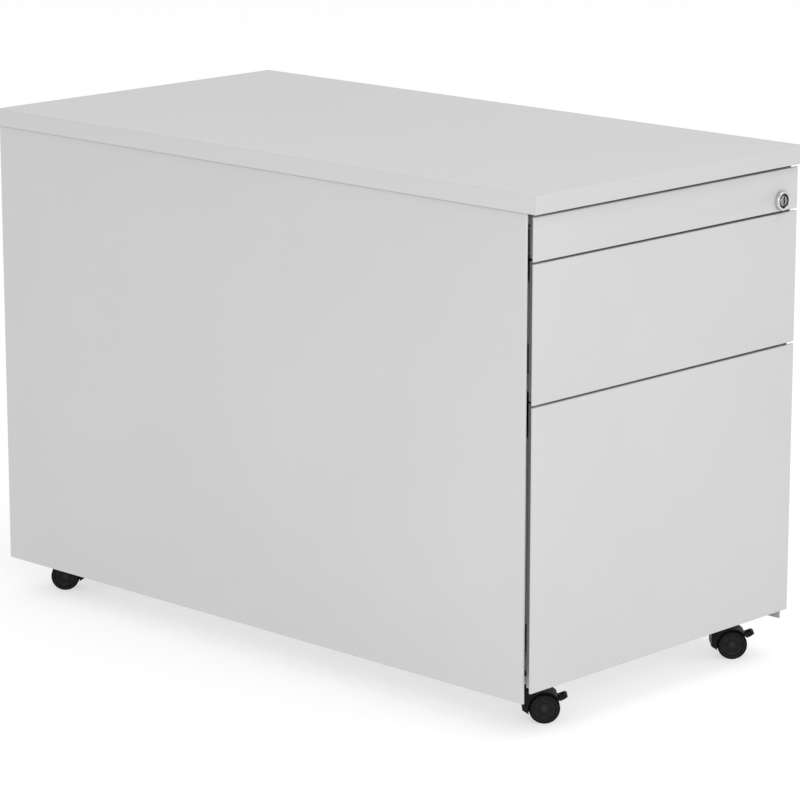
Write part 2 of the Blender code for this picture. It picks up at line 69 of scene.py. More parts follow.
# ---------------------------------------------------------------- camera and light settings
CAMERA_PLACE = (-2.777, -2.681, 1.163)
CAMERA_YAW = math.radians(46.20)      # turned from looking along +Y towards +X
CAMERA_PITCH = math.radians(13.29)    # looking down
CAMERA_LENS = 163.5                   # millimetres, on a 36 mm sensor
KEY_PLACE, KEY_SIZE, KEY_POWER = (-2.35, -2.75, 1.7), 1.2, 39.0
OVERHEAD_PLACE, OVERHEAD_SIZE, OVERHEAD_POWER = (0.9, -1.3, 3.2), 2.0, 18.0
SKY_STRENGTH = 0.86
TABLE_GLOW = 0.55

# ---------------------------------------------------------------- the cabinet's own names and sizes
SIDES = {"left": -1, "right": 1}
DRAWERS = ("pencil", "middle", "file")
CASTERS = ("front_left", "front_right", "rear_left", "rear_right")
RAIL_SHEET = 0.0014                   # thickness of the slides' steel
BALLS_FRONT = -0.366                  # front end of every ball cage
BALLS_LENGTH = 0.150
BALLS_IN_ROW = 10


# ---------------------------------------------------------------- node helpers
class Finish:
    """A Principled material whose colour, roughness and bump come from object-space textures."""

    def __init__(self, name, color, roughness, metallic=0.0, coat=0.0, specular=0.5):
        self.material = bpy.data.materials.new(name)
        self.material.use_nodes = True
        self.tree = self.material.node_tree
        self.shader = self.tree.nodes["Principled BSDF"]
        self.color = color
        self.roughness = roughness
        self.shader.inputs["Base Color"].default_value = (*color, 1.0)
        self.shader.inputs["Roughness"].default_value = roughness
        self.shader.inputs["Metallic"].default_value = metallic
        self.shader.inputs["Coat Weight"].default_value = coat
        self.shader.inputs["Specular IOR Level"].default_value = specular
        self.material.diffuse_color = (*color, 1.0)
        self.coords = self.tree.nodes.new("ShaderNodeTexCoord").outputs["Object"]
        self.normal = None

    def node(self, kind, **values):
        """A new node with its sockets set by name."""
        made = self.tree.nodes.new(kind)
        for name, value in values.items():
            made.inputs[name.replace("_", " ")].default_value = value
        return made

    def stretched(self, stretch):
        """Object coordinates scaled along each axis, for streaks."""
        mapping = self.node("ShaderNodeMapping", Scale=stretch)
        self.tree.links.new(self.coords, mapping.inputs["Vector"])
        return mapping.outputs["Vector"]

    def noise(self, scale, detail=2.0, stretch=None):
        """Noise with that many features a metre."""
        made = self.node("ShaderNodeTexNoise", Scale=scale, Detail=detail)
        self.tree.links.new(self.stretched(stretch) if stretch else self.coords, made.inputs["Vector"])
        return made.outputs["Fac"]

    def cells(self, scale):
        """Distance to the nearest of that many points a metre."""
        made = self.node("ShaderNodeTexVoronoi", Scale=scale)
        self.tree.links.new(self.coords, made.inputs["Vector"])
        return made.outputs["Distance"]

    def spread(self, factor, low, high, into):
        """Feed a number that runs from low to high with a noise's usual range into a socket."""
        made = self.node("ShaderNodeMapRange", From_Min=0.3, From_Max=0.7, To_Min=low, To_Max=high)
        self.tree.links.new(factor, made.inputs["Value"])
        self.tree.links.new(made.outputs["Result"], into)

    def mixed(self, blend, factor, first, second):
        """A colour mix of two colours or sockets."""
        mix = self.tree.nodes.new("ShaderNodeMix")
        mix.data_type = "RGBA"
        mix.blend_type = blend
        for socket, value in ((mix.inputs[0], factor), (mix.inputs[6], first), (mix.inputs[7], second)):
            if isinstance(value, bpy.types.NodeSocket):
                self.tree.links.new(value, socket)
            else:
                socket.default_value = value
        return mix.outputs[2]

    def vary_color(self, factor, dark, light):
        """Colour between two shades of the base colour. Later calls multiply onto earlier ones."""
        share = self.node("ShaderNodeMapRange", From_Min=0.3, From_Max=0.7)
        self.tree.links.new(factor, share.inputs["Value"])
        base = self.shader.inputs["Base Color"]
        if base.is_linked:
            dark_grey, light_grey = (dark, dark, dark, 1.0), (light, light, light, 1.0)
            shades = self.mixed("MIX", share.outputs["Result"], dark_grey, light_grey)
            result = self.mixed("MULTIPLY", 1.0, base.links[0].from_socket, shades)
        else:
            first, second = ((*(channel * part for channel in self.color), 1.0) for part in (dark, light))
            result = self.mixed("MIX", share.outputs["Result"], first, second)
        self.tree.links.new(result, base)

    def vary_roughness(self, factor, change):
        """Roughness that wanders by the change to either side."""
        self.spread(factor, self.roughness - change, self.roughness + change, self.shader.inputs["Roughness"])

    def bump(self, factor, distance):
        """Height of that many metres, on top of any earlier bump."""
        made = self.node("ShaderNodeBump", Strength=1.0, Distance=distance)
        self.tree.links.new(factor, made.inputs["Height"])
        if self.normal is not None:
            self.tree.links.new(self.normal, made.inputs["Normal"])
        self.normal = made.outputs["Normal"]
        self.tree.links.new(self.normal, self.shader.inputs["Normal"])


# ---------------------------------------------------------------- finishes
def powder_coat():
    """Light grey powder coat: satin, with a fine orange peel."""
    look = Finish("powder_coat", (0.540, 0.540, 0.540), 0.40, coat=0.08)
    look.vary_color(look.noise(5.0, 3.0), 0.985, 1.015)
    look.vary_color(look.noise(2400.0, 1.0), 0.99, 1.01)
    look.vary_roughness(look.noise(60.0, 3.0), 0.03)
    look.bump(look.noise(420.0, 2.0), 0.00006)
    look.bump(look.noise(2600.0, 1.0), 0.000012)
    return look.material


def laminate():
    """Light grey melamine: matt, with a fine pearl grain."""
    look = Finish("worktop_laminate", (0.562, 0.562, 0.561), 0.50)
    look.vary_color(look.noise(3.0, 4.0), 0.985, 1.015)
    look.vary_color(look.noise(1500.0, 3.0), 0.975, 1.025)
    look.vary_roughness(look.noise(700.0, 2.0), 0.05)
    look.bump(look.noise(1900.0, 3.0), 0.00003)
    return look.material


def edge_band():
    """The worktop's extruded edging: same grey, smoother, with a faint fine mottle."""
    look = Finish("worktop_edging", (0.535, 0.536, 0.536), 0.42)
    look.vary_color(look.noise(1200.0, 2.0), 0.985, 1.015)
    look.vary_roughness(look.noise(300.0, 2.0), 0.04)
    look.bump(look.noise(900.0, 2.0), 0.00002)
    return look.material


def zinc():
    """Bright zinc plate on rolled steel, streaked along the slides."""
    look = Finish("zinc_steel", (0.560, 0.570, 0.590), 0.34, metallic=1.0)
    look.vary_color(look.noise(9.0, 4.0), 0.90, 1.08)
    look.vary_roughness(look.noise(40.0, 3.0, stretch=(12.0, 0.6, 12.0)), 0.07)
    look.bump(look.noise(90.0, 2.0, stretch=(14.0, 0.5, 14.0)), 0.00003)
    return look.material


def chrome():
    """Polished chrome plate on the lock, with a fine wandering roughness and a faint bump."""
    look = Finish("lock_chrome", (0.62, 0.63, 0.64), 0.16, metallic=1.0)
    look.vary_roughness(look.noise(500.0, 4.0), 0.05)
    look.bump(look.noise(1400.0, 2.0), 0.000006)
    return look.material


def lock_steel():
    """The plug's turned face: duller than the plated bezel, with a fine mottle and bump."""
    look = Finish("lock_steel", (0.300, 0.305, 0.310), 0.30, metallic=1.0)
    look.vary_color(look.noise(700.0, 3.0), 0.85, 1.15)
    look.vary_roughness(look.noise(900.0, 2.0), 0.08)
    look.bump(look.noise(2200.0, 2.0), 0.00001)
    return look.material


def black_steel():
    """Blackened steel of the casters' axles and lever pins."""
    look = Finish("black_steel", (0.012, 0.012, 0.0125), 0.45, specular=0.25)
    look.vary_color(look.noise(300.0, 3.0), 0.8, 1.25)
    look.vary_roughness(look.noise(500.0, 2.0), 0.08)
    look.bump(look.noise(900.0, 2.0), 0.00001)
    return look.material


def moulded(name, color, roughness, specular=0.5):
    """Moulded plastic with an even eroded grain."""
    look = Finish(name, color, roughness, specular=specular)
    look.vary_color(look.noise(30.0, 3.0), 0.88, 1.12)
    look.vary_roughness(look.noise(400.0, 2.0), 0.05)
    look.bump(look.cells(1500.0), 0.00002)
    return look.material


def rubber():
    """Soft tread, a little dusty."""
    look = Finish("tread_rubber", (0.0035, 0.0035, 0.0037), 0.74, specular=0.07)
    look.vary_color(look.noise(120.0, 4.0), 0.7, 1.5)
    look.vary_roughness(look.noise(250.0, 2.0), 0.06)
    look.bump(look.noise(1800.0, 2.0), 0.00003)
    return look.material


# ---------------------------------------------------------------- mesh helpers
CORNERS = [(x, y, z) for z in (0, 1) for y in (0, 1) for x in (0, 1)]
QUADS = ((0, 2, 3, 1), (4, 5, 7, 6), (0, 1, 5, 4), (2, 6, 7, 3), (0, 4, 6, 2), (1, 3, 7, 5))


def block(low, high, bm=None):
    """A plain box, added to a mesh or on its own."""
    bm = bm or bmesh.new()
    verts = [bm.verts.new([(low, high)[corner[axis]][axis] for axis in range(3)]) for corner in CORNERS]
    for quad in QUADS:
        bm.faces.new([verts[number] for number in quad])
    return bm


def bevelled(bm, radius, segments, chosen=lambda edge: True):
    """Round the chosen edges."""
    edges = [edge for edge in bm.edges if chosen(edge)]
    bmesh.ops.bevel(bm, geom=edges, offset=radius, segments=segments, profile=0.5, affect="EDGES")
    return bm


def prism(outline, axis, start, end, bm=None):
    """A flat outline swept along one axis. Its two coordinates are the other axes, in X, Y, Z order."""
    bm = bm or bmesh.new()
    loops = []
    for height in (start, end):
        loop = []
        for point in outline:
            place = list(point)
            place.insert(axis, height)
            loop.append(bm.verts.new(place))
        loops.append(loop)
    new = [bm.faces.new(loops[0]), bm.faces.new(loops[1])]
    for number in range(len(outline)):
        after = (number + 1) % len(outline)
        new.append(bm.faces.new((loops[0][number], loops[0][after], loops[1][after], loops[1][number])))
    bmesh.ops.recalc_face_normals(bm, faces=new)
    return bm


def arc(center, radius, start, end, steps):
    """Points on an arc, from one angle to another in degrees, both ends included."""
    points = []
    for number in range(steps + 1):
        angle = math.radians(start + (end - start) * number / steps)
        points.append((center[0] + radius * math.cos(angle), center[1] + radius * math.sin(angle)))
    return points


def circle(center, radius, steps):
    """Points round a full circle."""
    return arc(center, radius, 0, 360, steps)[:-1]


def lathe(profile, steps, place=Matrix.Identity(4), bm=None):
    """Turn a closed (radius, height) profile about Z, then put it in place. Radius 0 points become poles."""
    bm = bm or bmesh.new()
    poles = {}
    loops = []
    for step in range(steps):
        angle = math.tau * step / steps
        loop = []
        for number, (radius, height) in enumerate(profile):
            if radius > 0:
                spot = Vector((radius * math.cos(angle), radius * math.sin(angle), height))
                loop.append(bm.verts.new(place @ spot))
                continue
            if number not in poles:
                poles[number] = bm.verts.new(place @ Vector((0, 0, height)))
            loop.append(poles[number])
        loops.append(loop)
    new = []
    for step, loop in enumerate(loops):
        following = loops[(step + 1) % steps]
        for number in range(len(profile)):
            after = (number + 1) % len(profile)
            corners = []
            for vert in (loop[number], loop[after], following[after], following[number]):
                if vert not in corners:
                    corners.append(vert)
            if len(corners) > 2:
                new.append(bm.faces.new(corners))
    bmesh.ops.recalc_face_normals(bm, faces=new)
    return bm


def facing(place, direction):
    """A matrix that puts local +Z along a direction at a place."""
    turn = Vector(direction).to_track_quat("Z", "Y").to_matrix().to_4x4()
    return Matrix.Translation(place) @ turn


def piece(name, bm, material, body, smooth=40.0, matrix=None):
    """One visible piece that rides on a CAD body, with the material it is given."""
    mesh = bpy.data.meshes.new(name)
    bm.to_mesh(mesh)
    bm.free()
    mesh.materials.append(material)
    if smooth:
        mesh.shade_smooth()
        mesh.set_sharp_from_angle(angle=math.radians(smooth))
    made = bpy.data.objects.new(name, mesh)
    bpy.context.scene.collection.objects.link(made)
    if matrix is not None:
        made.matrix_world = matrix
    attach(made, body)
    return made


def edged(made, radius, segments=3, degrees=35.0):
    """Round a piece's sharp edges after it has been carved."""
    bevel = made.modifiers.new("edge", "BEVEL")
    bevel.limit_method = "ANGLE"
    bevel.angle_limit = math.radians(degrees)
    bevel.width = radius
    bevel.segments = segments
    bevel.harden_normals = True
    return made


def carved(bm, operations):
    """Apply Boolean steps, (operation, mesh) in turn, and return the resulting mesh."""
    scene = bpy.context.scene
    mesh = bpy.data.meshes.new("blank")
    bm.to_mesh(mesh)
    bm.free()
    blank = bpy.data.objects.new("blank", mesh)
    scene.collection.objects.link(blank)
    tools = []
    for operation, shape in operations:
        tool_mesh = bpy.data.meshes.new("tool")
        shape.to_mesh(tool_mesh)
        shape.free()
        tool = bpy.data.objects.new("tool", tool_mesh)
        scene.collection.objects.link(tool)
        modifier = blank.modifiers.new("step", "BOOLEAN")
        modifier.operation = operation
        modifier.solver = "EXACT"
        modifier.object = tool
        tools.append(tool)
    graph = bpy.context.evaluated_depsgraph_get()
    result = bmesh.new()
    result.from_mesh(blank.evaluated_get(graph).to_mesh())
    for made in [blank, *tools]:
        data = made.data
        bpy.data.objects.remove(made)
        bpy.data.meshes.remove(data)
    bmesh.ops.remove_doubles(result, verts=result.verts, dist=1e-6)
    return result


def sharp(degrees):
    """A test for edges that fold by more than an angle."""
    limit = math.radians(degrees)
    return lambda edge: len(edge.link_faces) == 2 and edge.calc_face_angle(0.0) > limit


# ---------------------------------------------------------------- fasteners
def pan_head(place, direction, radius=0.0032, height=0.0018, bm=None):
    """A pan-head screw with a cross recess."""
    steps, recess, half_slot = 32, 0.45 * height, 0.16 * radius
    matrix = facing(place, direction)
    radii = [0.12, 0.2, 0.34, 0.5, 0.62, 0.78, 0.92, 1.0]
    bm = bm or bmesh.new()

    def lift(x, y, share):
        crown = height * (1.0 - 0.32 * share ** 2)
        slot = min(abs(x), abs(y)) < half_slot and share < 0.6
        return crown - recess * (1.0 - share) if slot else crown

    loops = [[bm.verts.new(matrix @ Vector((radius * math.cos(math.tau * step / steps),
                                           radius * math.sin(math.tau * step / steps), 0.0)))
              for step in range(steps)]]
    for share in reversed(radii):
        loop = []
        for step in range(steps):
            angle = math.tau * step / steps
            x, y = radius * share * math.cos(angle), radius * share * math.sin(angle)
            loop.append(bm.verts.new(matrix @ Vector((x, y, lift(x, y, share)))))
        loops.append(loop)
    new = [bm.faces.new(loops[0]), bm.faces.new(loops[-1])]
    for lower, upper in zip(loops, loops[1:]):
        for step in range(steps):
            after = (step + 1) % steps
            new.append(bm.faces.new((lower[step], lower[after], upper[after], upper[step])))
    bmesh.ops.recalc_face_normals(bm, faces=new)
    return bm


def rivet(place, direction, radius=0.0026, height=0.0009, bm=None):
    """A low domed rivet head with a dimple left by its mandrel."""
    profile = [(0.0, 0.0), (radius, 0.0), (radius, 0.25 * height), (0.86 * radius, 0.7 * height),
               (0.6 * radius, height), (0.3 * radius, height), (0.24 * radius, 0.6 * height),
               (0.0, 0.6 * height)]
    return lathe(profile, 24, facing(place, direction), bm)


# ---------------------------------------------------------------- the sheet-metal body
def soften(node, material, radius=0.0003):
    """Give a CAD node its finish, and a small radius on its sharp edges."""
    made = frame["nodes"][node]
    made.data.materials.clear()
    made.data.materials.append(material)
    made.data.shade_smooth()
    weld = made.modifiers.new("weld", "WELD")
    weld.merge_threshold = 0.00001
    flat = made.modifiers.new("flat", "DECIMATE")
    flat.decimate_type = "DISSOLVE"
    flat.angle_limit = math.radians(0.5)
    bevel = made.modifiers.new("edge", "BEVEL")
    bevel.limit_method = "ANGLE"
    bevel.angle_limit = math.radians(50)
    bevel.width = radius
    bevel.segments = 2
    bevel.harden_normals = True
    return made


def finish_sheet_metal(look):
    """Every CAD node whose shape is right keeps it, with a finish and softened edges."""
    for word in SIDES:
        soften(f"{word}_side_panel", look["paint"])
        for end in ("front", "rear"):
            soften(f"{word}_{end}_upright", look["zinc"])
        soften(f"file_{word}_hanger", look["zinc"])
        for drawer in DRAWERS:
            for kind in ("cabinet", "middle", "drawer"):
                if f"{drawer}_{word}_{kind}_rail" in frame["nodes"]:
                    soften(f"{drawer}_{word}_{kind}_rail", look["zinc"], 0.0002)
    for node in ("back_panel", "base_panel", "front_top_rail", "rear_top_rail", "middle_divider"):
        soften(node, look["paint"])
    for drawer in DRAWERS:
        soften(f"{drawer}_front", look["paint"], 0.0002)
        soften(f"{drawer}_box", look["paint"], 0.0002)
    soften("locking_bar", look["zinc"])


def make_worktop(look):
    """A board with a separate extruded edging strip on each side."""
    low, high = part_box("top_plate")
    strip, hairline = 0.0020, 0.00012
    body = "cabinet"
    board = block((low.x + strip + hairline, low.y + strip + hairline, low.z),
                  (high.x - strip - hairline, high.y - strip - hairline, high.z))
    made = piece("worktop_board", bevelled(board, 0.0002, 1), look["laminate"], body, 0)
    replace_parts(made, "top_plate")

    def strip_piece(name, strip_low, strip_high, outer):
        bm = bevelled(block(strip_low, strip_high), 0.0011, 4,
                      lambda edge: all(outer(vert.co) for vert in edge.verts))
        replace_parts(piece(name, bm, look["edging"], body), "top_plate")

    strip_piece("worktop_edging_front", (low.x, low.y, low.z), (high.x, low.y + strip, high.z),
                lambda spot: spot.y < low.y + 1e-5)
    strip_piece("worktop_edging_back", (low.x, high.y - strip, low.z), (high.x, high.y, high.z),
                lambda spot: spot.y > high.y - 1e-5)
    inner_y = (low.y + strip + hairline, high.y - strip - hairline)
    strip_piece("worktop_edging_left", (low.x, inner_y[0], low.z), (low.x + strip, inner_y[1], high.z),
                lambda spot: spot.x < low.x + 1e-5)
    strip_piece("worktop_edging_right", (high.x - strip, inner_y[0], low.z), (high.x, inner_y[1], high.z),
                lambda spot: spot.x > high.x - 1e-5)


def make_body_fasteners(look):
    """Screws through the side panels' rear flanges, and rivets in the drawer boxes."""
    for word, sign in SIDES.items():
        low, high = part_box(f"{word}_side_panel")
        screws = bmesh.new()
        for number in range(5):
            share = (number + 0.5) / 5
            z = low.z + 0.012 + share * (high.z - low.z - 0.024)
            pan_head((sign * (abs(high.x + low.x) / 2 - 0.0005), high.y, z), (0, 1, 0), bm=screws)
        piece(f"{word}_back_screws", screws, look["zinc"], "cabinet")
    for drawer in DRAWERS:
        box_low, box_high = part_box(f"{drawer}_box")
        wall = 0.0010
        heads = bmesh.new()
        for word, sign in SIDES.items():
            rail_low, rail_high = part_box(f"{drawer}_{word}_drawer_rail")
            z = (rail_low.z + rail_high.z) / 2
            for share in (0.10, 0.36, 0.64, 0.93):
                y = rail_low.y + share * (rail_high.y - rail_low.y)
                rivet((sign * (box_high.x - wall), y, z), (-sign, 0, 0), bm=heads)
            if drawer != "pencil":
                for z in (box_low.z + 0.022, box_high.z - 0.022):
                    pan_head((sign * 0.150, box_low.y + wall, z), (0, 1, 0), bm=heads)
        piece(f"{drawer}_box_rivets", heads, look["zinc"], f"{drawer}_drawer")


def make_slide_screws(look):
    """Screws in the channels of the drawer rails, seen when a drawer is open."""
    for drawer in DRAWERS:
        heads = bmesh.new()
        for word, sign in SIDES.items():
            low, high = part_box(f"{drawer}_{word}_drawer_rail")
            web = sign * (min(abs(low.x), abs(high.x)) + RAIL_SHEET)
            z = (low.z + high.z) / 2
            for share in (0.06, 0.22, 0.47, 0.72, 0.95):
                pan_head((web, low.y + share * (high.y - low.y), z), (sign, 0, 0), bm=heads)
        piece(f"{drawer}_slide_screws", heads, look["zinc"], f"{drawer}_drawer")


def make_bar_guides(look):
    """Two moulded clips that hold the locking bar against the right side panel."""
    low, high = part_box("locking_bar")
    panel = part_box("right_side_panel")[1].x - 0.0012
    gap, wall, half_height, beyond = 0.0004, 0.0020, 0.009, 0.02
    for number, z in enumerate((0.200, 0.440)):
        clip = block((low.x - 0.0008, low.y - gap - wall, z - half_height),
                     (panel - 0.0001, high.y + gap + wall, z + half_height))
        hole = block((low.x - gap, low.y - gap, z - beyond), (high.x + gap, high.y + gap, z + beyond))
        guide = carved(clip, [("DIFFERENCE", hole)])
        made = piece(f"bar_guide_{number + 1}", guide, look["nylon"], "cabinet")
        edged(made, 0.00015, 2)


# ---------------------------------------------------------------- slides
def ball_cage(name, outer, inner, body, look):
    """Two rows of balls in a pressed strip, between the flanges of two slide members."""
    outer_low, outer_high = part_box(outer)
    inner_low, inner_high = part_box(inner)
    half_width, half_strip = 0.0022, 0.0003
    x = (max(outer_low.x, inner_low.x) + min(outer_high.x, inner_high.x)) / 2
    rows = (((outer_high.z - RAIL_SHEET) + inner_high.z) / 2, ((outer_low.z + RAIL_SHEET) + inner_low.z) / 2)
    radius = ((outer_high.z - RAIL_SHEET) - inner_high.z) / 2 - 0.00008
    balls, strips = bmesh.new(), bmesh.new()
    for z in rows:
        block((x - half_width, BALLS_FRONT, z - half_strip),
              (x + half_width, BALLS_FRONT + BALLS_LENGTH, z + half_strip), strips)
        for number in range(BALLS_IN_ROW):
            y = BALLS_FRONT + BALLS_LENGTH * (number + 0.5) / BALLS_IN_ROW
            bmesh.ops.create_uvsphere(balls, u_segments=16, v_segments=10, radius=radius,
                                      matrix=Matrix.Translation((x, y, z)))
    piece(f"{name}_balls", balls, look["zinc"], body, 60)
    piece(f"{name}_ball_strips", strips, look["zinc"], body, 0)


def make_ball_cages(look):
    """Ball cages of all six slides: one in a pencil slide, and two in the others, which extend twice."""
    for word in SIDES:
        for drawer in DRAWERS:
            slide = f"{drawer}_{word}"
            middle_rail = f"{slide}_middle_rail"
            if middle_rail in frame["nodes"]:
                ball_cage(f"{slide}_outer", f"{slide}_cabinet_rail", middle_rail, "cabinet", look)
                ball_cage(f"{slide}_inner", middle_rail, f"{slide}_drawer_rail", f"{drawer}_slides", look)
            else:
                ball_cage(f"{slide}_outer", f"{slide}_cabinet_rail", f"{slide}_drawer_rail", "cabinet", look)


# ---------------------------------------------------------------- pen tray
def make_pen_tray(look):
    """The moulded tray, with rounded troughs for pens and three square pockets behind them."""
    low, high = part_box("pencil_insert")
    wall, floor = 0.004, 0.002
    blank = bevelled(block(low, high), 0.0012, 3,
                     lambda edge: all(vert.co.z > high.z - 1e-5 for vert in edge.verts))
    inside = high.x - wall
    rows = ((low.y + wall, low.y + 0.052, 1), (low.y + 0.056, low.y + 0.108, 1),
            (low.y + 0.112, high.y - wall, 3))
    steps = []
    for front, back, count in rows:
        pitch = (2 * inside + wall) / count
        for number in range(count):
            left = -inside + number * pitch
            pocket = block((left, front, low.z + floor), (left + pitch - wall, back, high.z + 0.02))
            steps.append(("DIFFERENCE", bevelled(pocket, 0.006, 5)))
    tray = carved(blank, steps)
    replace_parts(piece("pen_tray", tray, look["tray"], "pencil_drawer"), "pencil_insert")


# ---------------------------------------------------------------- lock
def make_lock(look):
    """Cylinder lock: bezel and barrel, a black ring of painted shade in the bezel's recess, turning plug with
    its keyway, and the cam behind.
    """
    low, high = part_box("lock_barrel")
    center = Vector(((low.x + high.x) / 2, 0.0, (low.z + high.z) / 2))
    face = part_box("pencil_front")[0].y
    proud = face - low.y
    depth = high.y - face
    bezel, barrel, mouth, bore = (high.x - low.x) / 2, 0.0080, 0.0077, 0.0058
    rim, chamfer = 0.0014, 0.0006
    floor = proud - 0.0013
    seat = facing((center.x, face, center.z), (0, -1, 0))
    profile = [(bore, floor), (mouth - 0.0002, floor), (mouth, floor + 0.0002), (mouth, proud - 0.0003),
               (mouth + 0.0003, proud), (bezel - rim, proud)]
    profile += arc((bezel - rim, proud - rim), rim, 75, 0, 5)
    profile += [(bezel, 0.0002), (barrel, 0.0002), (barrel, -depth), (bore, -depth)]
    made = piece("lock_bezel", lathe(profile, 72, seat), look["chrome"], "pencil_drawer", 30)
    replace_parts(made, "lock_barrel")
    # Painted shade: a black ring on the floor of the bezel's recess, round the plug, stands in for the dark
    # of the recess.
    painted_shade_ring = [(bore, floor + 0.00002), (mouth - 0.0003, floor + 0.00002), (mouth - 0.0003, floor + 0.0004),
              (bore + 0.0002, floor + 0.0006), (bore, floor + 0.0004)]
    piece("lock_painted_shade_ring", lathe(painted_shade_ring, 72, seat), look["nylon"], "pencil_drawer", 30)

    radius, front = bore - 0.00025, proud - 0.0003
    plug_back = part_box("lock_plug")[1].y - face
    plug = [(0.0, front), (radius - chamfer, front), (radius, front - chamfer), (radius, -plug_back),
            (0.0, -plug_back)]
    half_slot, half_key, before, deep = 0.0010, 0.0045, face - proud - 0.001, face - front + 0.0050
    slot = block((center.x - half_slot, before, center.z - half_key),
                 (center.x + half_slot, deep, center.z + half_key))
    ward = block((center.x - half_slot, before, center.z - 0.0012),
                 (center.x + half_slot + 0.0009, deep, center.z + 0.0002))
    turned = carved(lathe(plug, 64, seat), [("DIFFERENCE", slot), ("DIFFERENCE", ward)])
    core = piece("lock_core", turned, look["lock_steel"], "lock_core", 30)
    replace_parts(edged(core, 0.00015, 2, 50), "lock_plug")

    cam_low, cam_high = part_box("lock_cam")
    half = (cam_high.x - cam_low.x) / 2
    reach = cam_high.z - half
    outline = arc((center.x, center.z), half, 180, 360, 16) + arc((center.x, reach), half, 0, 180, 16)
    cam = bevelled(prism(outline, 1, cam_low.y, cam_high.y), 0.0002, 2, sharp(60))
    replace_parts(piece("lock_cam_plate", cam, look["zinc"], "lock_core"), "lock_cam")
    screw = pan_head((center.x, cam_high.y, center.z), (0, 1, 0), 0.0028, 0.0016)
    piece("lock_cam_screw", screw, look["zinc"], "lock_core")


# ---------------------------------------------------------------- casters
JOINTS = {joint["name"]: joint for joint in frame["joints"]}
WHEEL_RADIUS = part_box("front_left_caster_wheel_a")[1].z / 2
WHEEL_WIDTH = 0.0088
WEB = 0.006                           # hood's middle wall, between the two wheels
WHEEL_INNER = WEB / 2 + 0.0007
WHEEL_OUTER = WHEEL_INNER + WHEEL_WIDTH
AXLE_RADIUS = 0.003
HOOD_HALF_WIDTH = 0.0130
HOOD_RADIUS = 0.0181                  # hood's arch, round the axle
NOSE = -0.0106                        # front of the hood, from the swivel axis
PEDAL_PIN_RADIUS = 0.0011
PEDAL_HALF_WIDTH = 0.0067


def caster_matrix(name):
    """A caster's own frame: origin on the floor under its swivel, X along the trail, Y along the axle."""
    axle = Vector(JOINTS[f"{name}_wheel_a_spin"]["axis"])
    foot = Vector(JOINTS[f"{name}_swivel_turn"]["pos_m"])
    matrix = Matrix((axle.cross(Vector((0, 0, 1))), axle, (0, 0, 1))).transposed().to_4x4()
    matrix.translation = (foot.x, foot.y, 0)
    return matrix


def in_caster(name, joint):
    """A joint's place in its caster's own frame."""
    return caster_matrix(name).inverted() @ Vector(JOINTS[joint]["pos_m"])


def both_sides(outline, inner, outer):
    """Two matching slices of one side view, left and right of the hood's middle wall."""
    return prism(outline, 1, -outer, -inner, prism(outline, 1, inner, outer))


def hood_mesh(center, pin):
    """A hood in the caster's own frame, with a lug for the brake lever where there is one."""
    outline = [(NOSE, 0.0150), (NOSE, 0.0340)] + arc((NOSE + 0.0030, 0.0340), 0.0030, 165, 95, 4)
    outline.append((0.0050, 0.0370))
    outline += arc(center, HOOD_RADIUS, 86, 44, 14)
    if pin:
        outline += arc(pin, 2 * PEDAL_PIN_RADIUS, 45, -110, 10)
    outline += [(center[0] + 0.0115, center[1] + 0.0070), (center[0] + 0.006, center[1] - 0.0045),
                (center[0], center[1] - 0.0080), (center[0] - 0.0130, center[1] - 0.0076)]
    blank = prism(outline, 1, -HOOD_HALF_WIDTH, HOOD_HALF_WIDTH)
    beyond = HOOD_HALF_WIDTH + 0.001
    steps = [("DIFFERENCE", both_sides(circle(center, WHEEL_RADIUS + 0.0009, 64), WEB / 2, beyond))]
    if pin:
        low, high = (pin[0] - 0.0032, pin[1] - 0.006), (pin[0] + 0.006, pin[1] + 0.006)
        room = [low, (high[0], low[1]), high, (low[0], high[1])]
        steps.append(("DIFFERENCE", both_sides(room, WEB / 2, beyond)))
    steps.append(("UNION", prism(circle((0, 0), 0.0095, 48), 2, 0.034, 0.0457)))
    return carved(blank, steps)


def wheel_meshes(center, side):
    """Hub and tread of one wheel, in the caster's own frame."""
    seat = facing(center, (0, side, 0))
    tyre_inside = WHEEL_RADIUS - 0.0020
    tread = [(tyre_inside, WHEEL_INNER + 0.0001), (WHEEL_RADIUS - 0.0012, WHEEL_INNER + 0.0001)]
    tread += arc((WHEEL_RADIUS - 0.0012, WHEEL_INNER + 0.0013), 0.0012, -70, 0, 4)
    tread += arc((WHEEL_RADIUS - 0.0020, WHEEL_OUTER - 0.0024), 0.0020, 0, 84, 7)
    tread.append((tyre_inside, WHEEL_OUTER - 0.0004))
    bore = AXLE_RADIUS + 0.0002
    rim = tyre_inside - 0.00005
    face, dish = WHEEL_OUTER - 0.0006, WHEEL_OUTER - 0.0020
    hub = [(bore, WHEEL_INNER), (rim, WHEEL_INNER), (rim, WHEEL_OUTER - 0.0005), (rim - 0.0005, WHEEL_OUTER),
           (rim - 0.0014, WHEEL_OUTER), (rim - 0.0019, WHEEL_OUTER - 0.0004), (rim - 0.0026, dish + 0.0003),
           (rim - 0.0033, dish), (0.0068, dish), (0.0062, dish + 0.0003), (0.0056, face - 0.0003),
           (0.0050, face), (bore, face)]
    return lathe(hub, 72, seat), lathe(tread, 72, seat)


